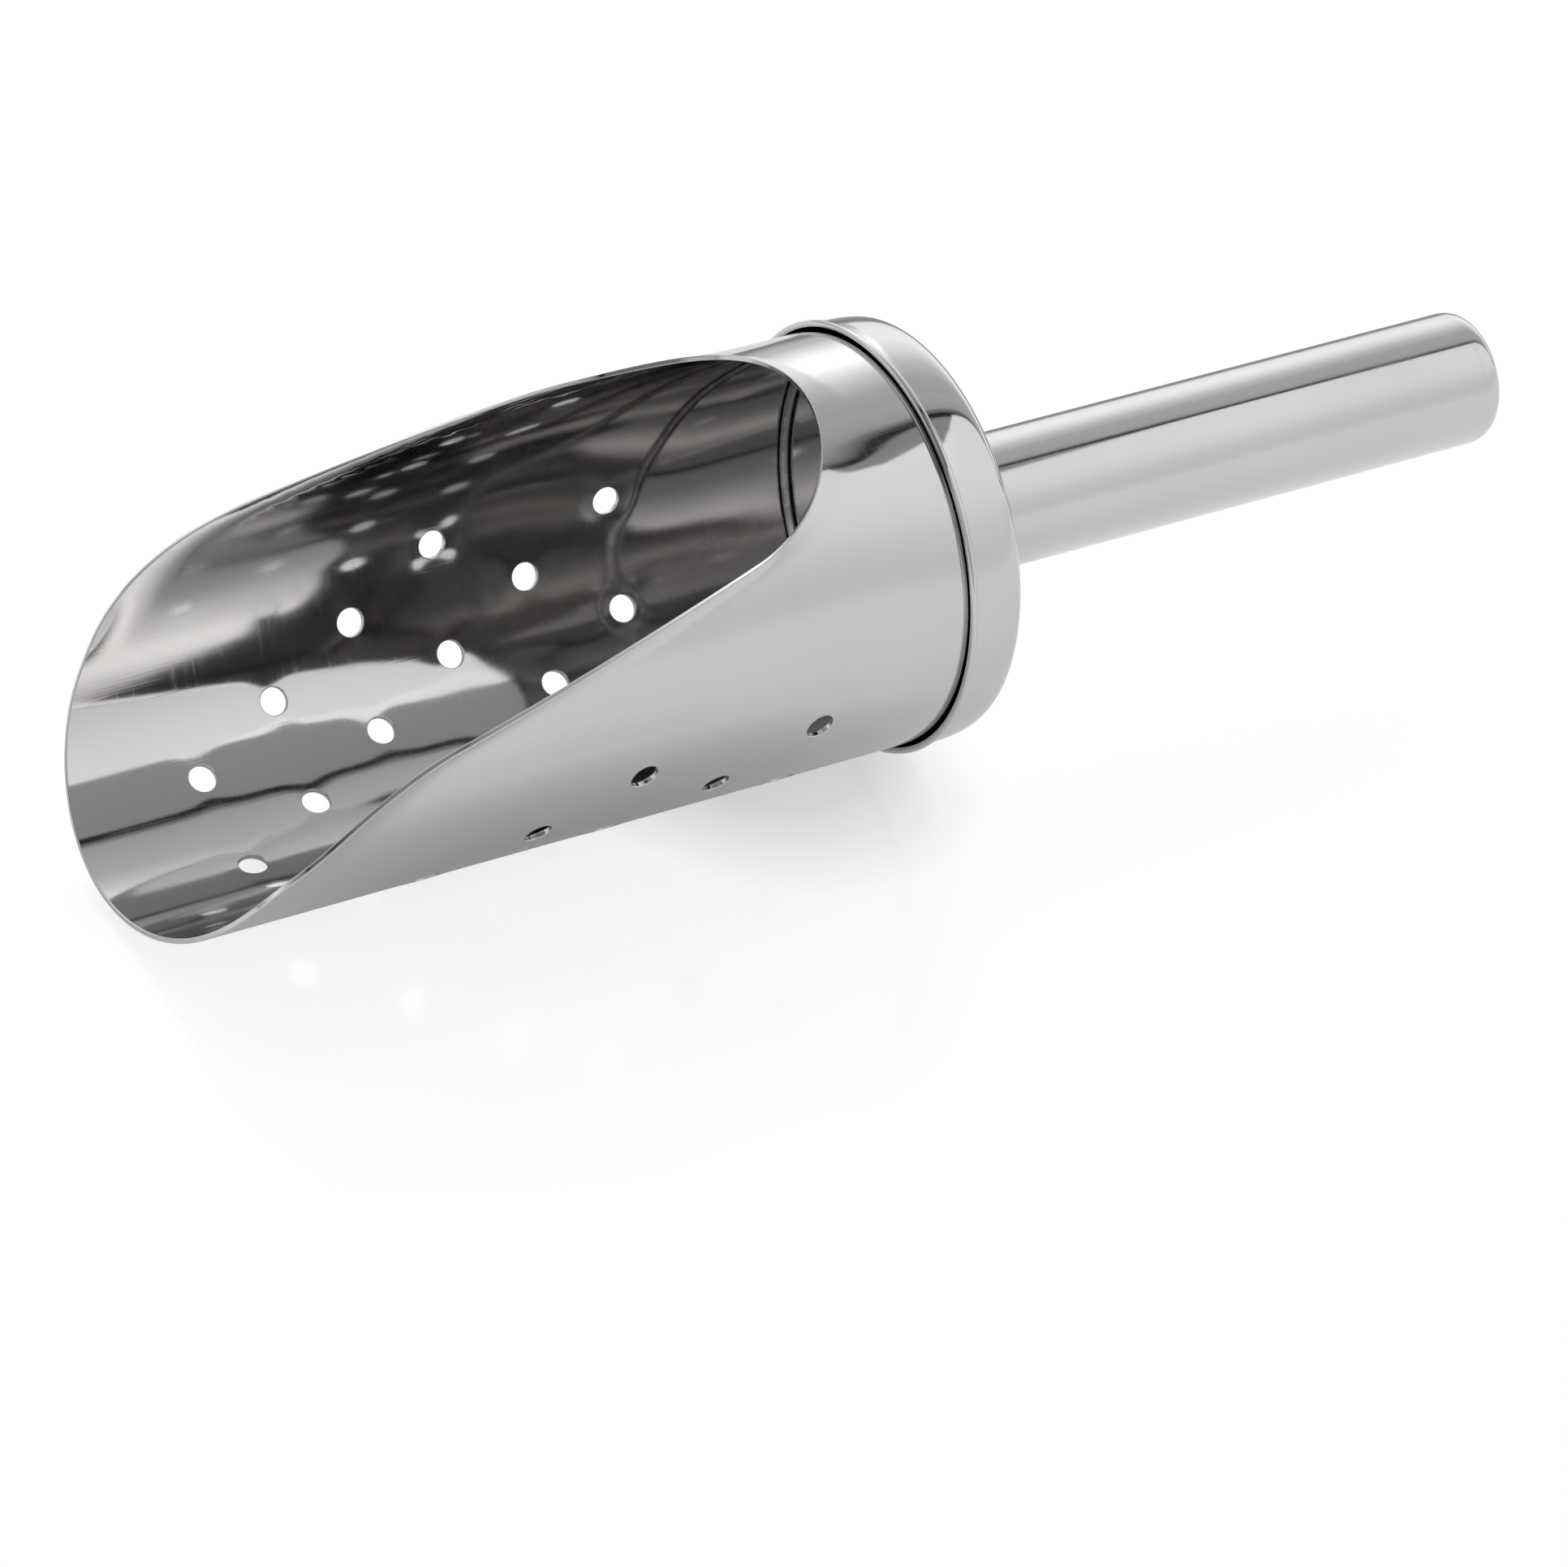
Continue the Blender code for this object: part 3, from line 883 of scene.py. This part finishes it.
def make_studio():
    """Light all round in bands that run along the scoop's axis, dimmer on the mouth's side."""
    world = bpy.data.worlds.new("studio")
    world.use_nodes = True
    bpy.context.scene.world = world
    tree = world.node_tree
    way = split_place(tree, "Generated")
    towards = combine(tree, "MULTIPLY", way["Y"], -1.0)
    radians = combine(tree, "ARCTAN2", towards, way["Z"])
    level = radiance_ramp(tree, combine(tree, "DEGREES", radians, 0.0), STUDIO_BANDS)
    side = ranged(tree, way["X"], -MOUTH_SIDE_BLEND, MOUTH_SIDE_BLEND, MOUTH_SIDE_SHARE, 1.0)
    background = tree.nodes["Background"]
    tree.links.new(level, background.inputs["Color"])
    tree.links.new(combine(tree, "MULTIPLY", side, BAND_SCALE), background.inputs["Strength"])


# Light's bounces between mirrors, and the camera: lens and sensor in millimetres, place from the
# bead's centre
GLOSSY_BOUNCES = 12
CAMERA_LENS = 190.14
CAMERA_SENSOR = 36.0
CAMERA_FAR_CLIP = 50.0
CAMERA_FROM_BEAD = Vector((-0.726937, -0.978890, 0.842221))
CAMERA_AZIMUTH = math.radians(-36.298)
CAMERA_ELEVATION = math.radians(36.386)
CAMERA_ROLL = math.radians(7.830)


def make_camera():
    data = bpy.data.cameras.new("camera")
    data.lens = CAMERA_LENS
    data.sensor_width = CAMERA_SENSOR
    data.clip_end = CAMERA_FAR_CLIP
    camera = bpy.data.objects.new("camera", data)
    bpy.context.scene.collection.objects.link(camera)
    back = Vector((
        math.sin(CAMERA_AZIMUTH) * math.cos(CAMERA_ELEVATION),
        -math.cos(CAMERA_AZIMUTH) * math.cos(CAMERA_ELEVATION),
        math.sin(CAMERA_ELEVATION),
    ))
    level = back.to_track_quat("Z", "Y").to_matrix().to_4x4()
    place = Matrix.Translation(Vector((BEAD_X, 0.0, AXIS_Z)) + CAMERA_FROM_BEAD)
    camera.matrix_world = place @ level @ Matrix.Rotation(CAMERA_ROLL, 4, "Z")
    bpy.context.scene.camera = camera


def main():
    barrel_steel = polished_steel("barrel_steel", 0.05, 0.10, brushed=0.12)
    cap_steel = polished_steel("cap_steel", 0.04, 0.08)
    handle_steel = polished_steel("handle_steel", 0.08, 0.13)
    weld_steel = welded_steel("weld_steel")
    for make, node, slot, material in (
        (make_barrel, "scoop_barrel", "barrel_steel", barrel_steel),
        (make_disc, "inner_floor_disc", "cap_steel", cap_steel),
        (make_seam_weld, "floor_seam_weld", "weld_steel", weld_steel),
        (make_cap, "end_cap", "cap_steel", cap_steel),
        (make_tube, "handle_tube", "handle_steel", handle_steel),
        (make_end, "handle_end", "handle_steel", handle_steel),
        (make_root_weld, "handle_root_weld", "weld_steel", weld_steel),
    ):
        piece = make()
        piece.data.materials.append(material)
        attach(piece, "root")
        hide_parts(node)
    make_floors()
    make_panels()
    make_studio()
    make_camera()
    bpy.context.scene.view_settings.view_transform = "Standard"
    bpy.context.scene.cycles.glossy_bounces = GLOSSY_BOUNCES


main()
